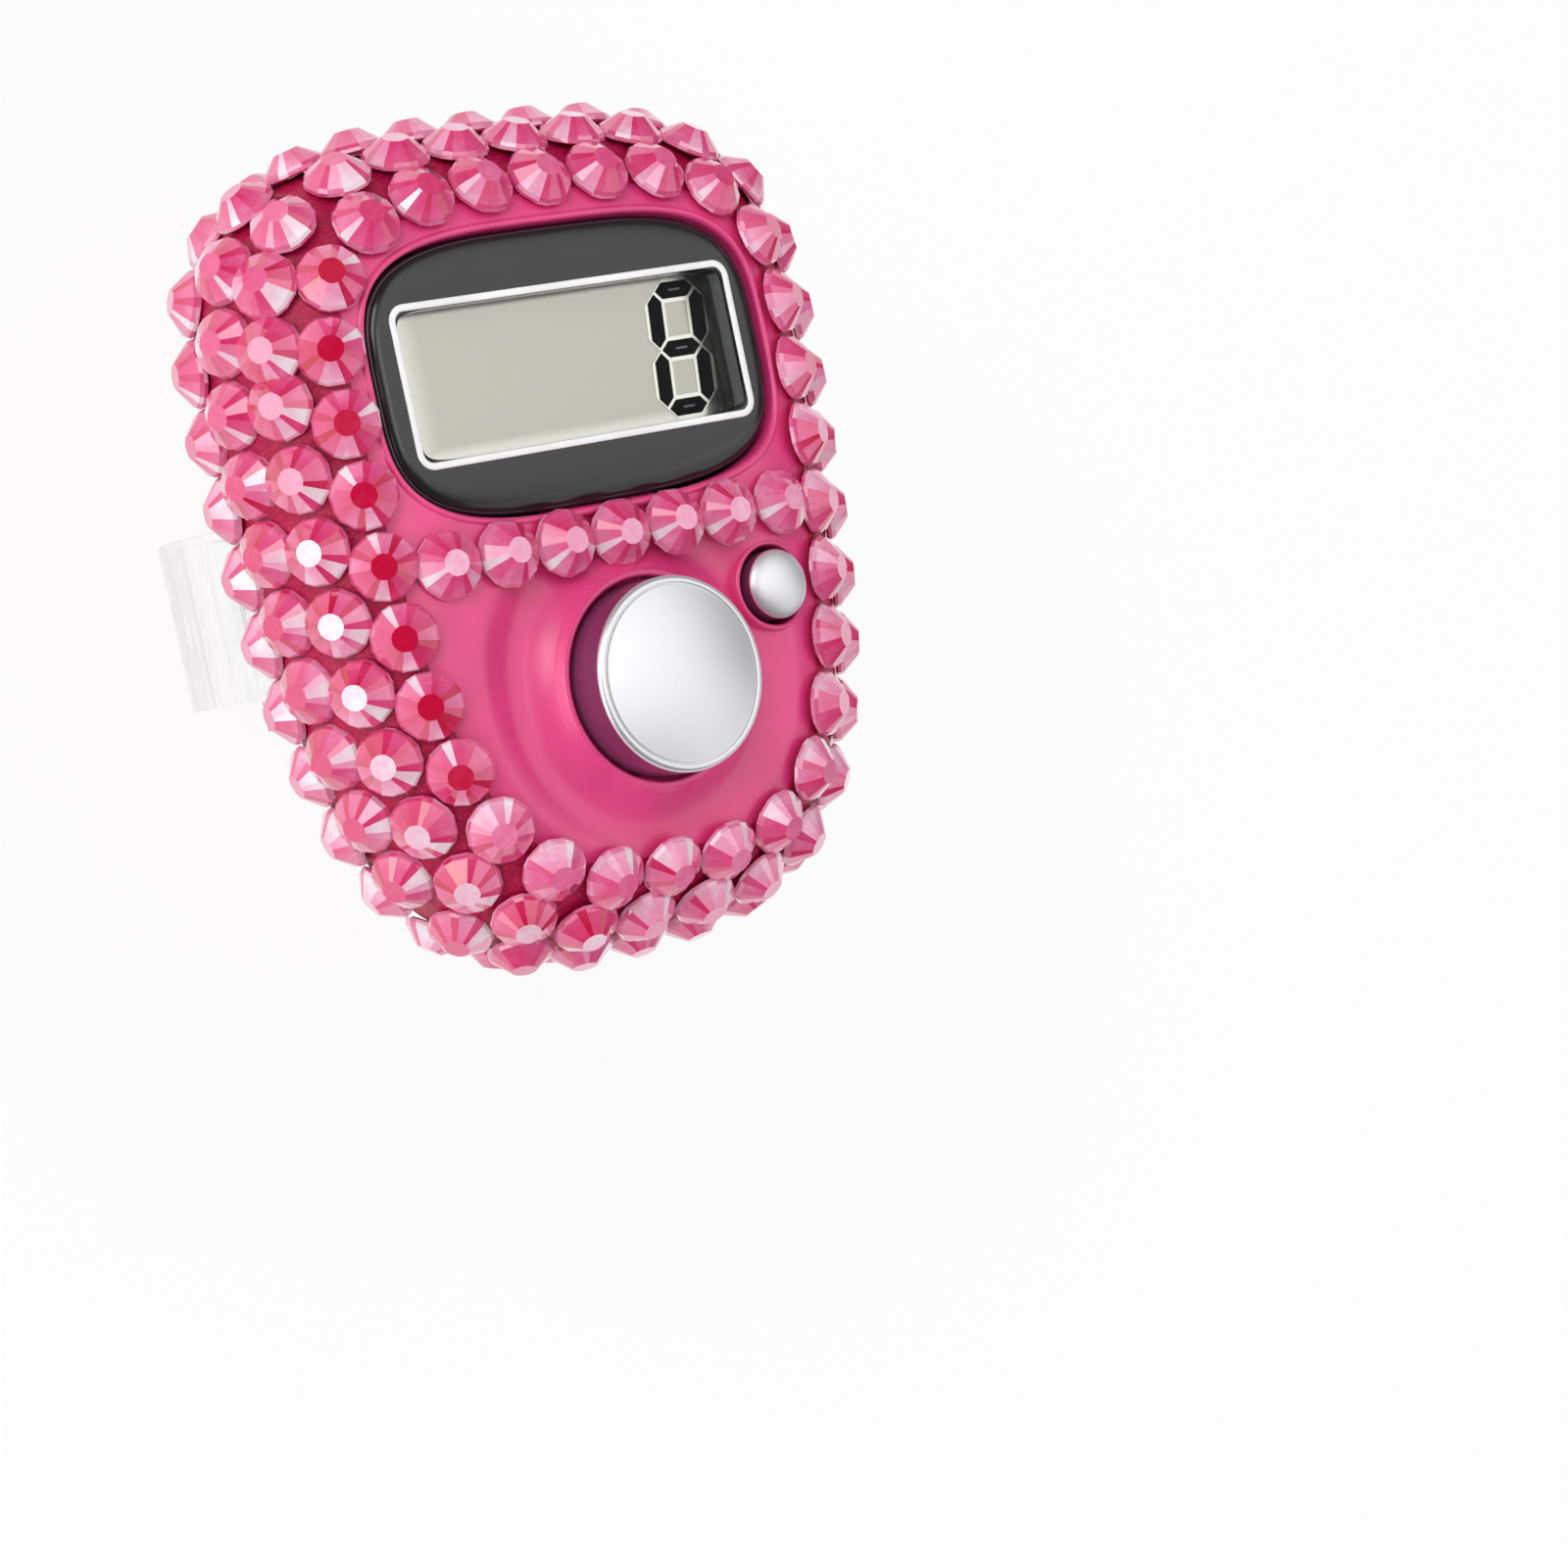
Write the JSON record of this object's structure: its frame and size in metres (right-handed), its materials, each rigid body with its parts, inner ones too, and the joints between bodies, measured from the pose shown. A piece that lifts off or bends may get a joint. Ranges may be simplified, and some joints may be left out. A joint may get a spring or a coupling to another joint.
{
  "type": "digital tally counter",
  "caption": "Finger-worn digital tally counter with a faceted-stone case, a seven-segment display, a large count button, a small reset button and a loop strap.",
  "frame": {"origin": "bottom centre of the whole counter as it lies on its closed strap, display up", "axes": "+Z out of the display, +Y from the buttons to the display's top edge, +X to the display's right"},
  "size_m": [0.0332, 0.0404, 0.0313],
  "materials": {
    "case_pink": "glossy hot pink moulded plastic",
    "cover_pink": "satin hot pink moulded plastic",
    "plate_black": "dark grey, satin gloss",
    "pane_clear": "clear, polished",
    "display_glass": "clear with a warm grey tint",
    "display_reflector": "warm grey foil",
    "holder_plastic": "white moulded plastic",
    "connector_rubber": "black striped conductive rubber",
    "board_green": "green solder mask on glass fibre board",
    "chip_resin": "black potting resin",
    "capacitor_tan": "tan ceramic",
    "resistor_black": "black ceramic",
    "button_chrome": "pearl satin chrome plating on plastic",
    "dome_rubber": "translucent silicone rubber",
    "steel": "bright nickel-plated steel",
    "strap_clear": "clear white flexible silicone",
    "stone_resin": "faceted translucent pink resin"
  },
  "bodies": {
    "case": {"front_case": "case_pink", "rear_cover": "cover_pink", "front_plate": "plate_black", "window_pane": "pane_clear", "display_mask": "plate_black", "lcd_front_glass": "display_glass", "lcd_rear_glass": "display_glass", "lcd_reflector": "display_reflector", "lcd_holder": "holder_plastic", "zebra_connector": "connector_rubber", "circuit_board": "board_green", "chip_blob": "chip_resin", "capacitor": "capacitor_tan", "resistor": "resistor_black", "count_dome": "dome_rubber", "reset_dome": "dome_rubber", "button_cell": "steel", "cell_contact_plus": "steel", "cell_contact_minus": "steel", "case_screw_1": "steel", "case_screw_2": "steel", "case_screw_3": "steel", "case_screw_4": "steel", "board_screw_1": "steel", "board_screw_2": "steel", "strap_pin_left": "steel", "strap_pin_right": "steel", "strap_left": "strap_clear", "strap_right": "strap_clear", "stone_ring_1": "stone_resin", "stone_ring_2": "stone_resin", "stone_ring_3": "stone_resin", "stone_ring_4": "stone_resin", "stone_row": "stone_resin"},
    "count_button": {"count_button": "button_chrome"},
    "reset_button": {"reset_button": "button_chrome"}
  },
  "joints": [
    {"name": "count_press", "type": "slide", "parent": "case", "child": "count_button", "axis": [0, 0, -1], "range_m": [0, 0.001], "stiffness_N_per_m": 1200, "deforming": ["count_dome"]},
    {"name": "reset_press", "type": "slide", "parent": "case", "child": "reset_button", "axis": [0, 0, -1], "range_m": [0, 0.0007], "stiffness_N_per_m": 1500, "deforming": ["reset_dome"]}
  ]
}
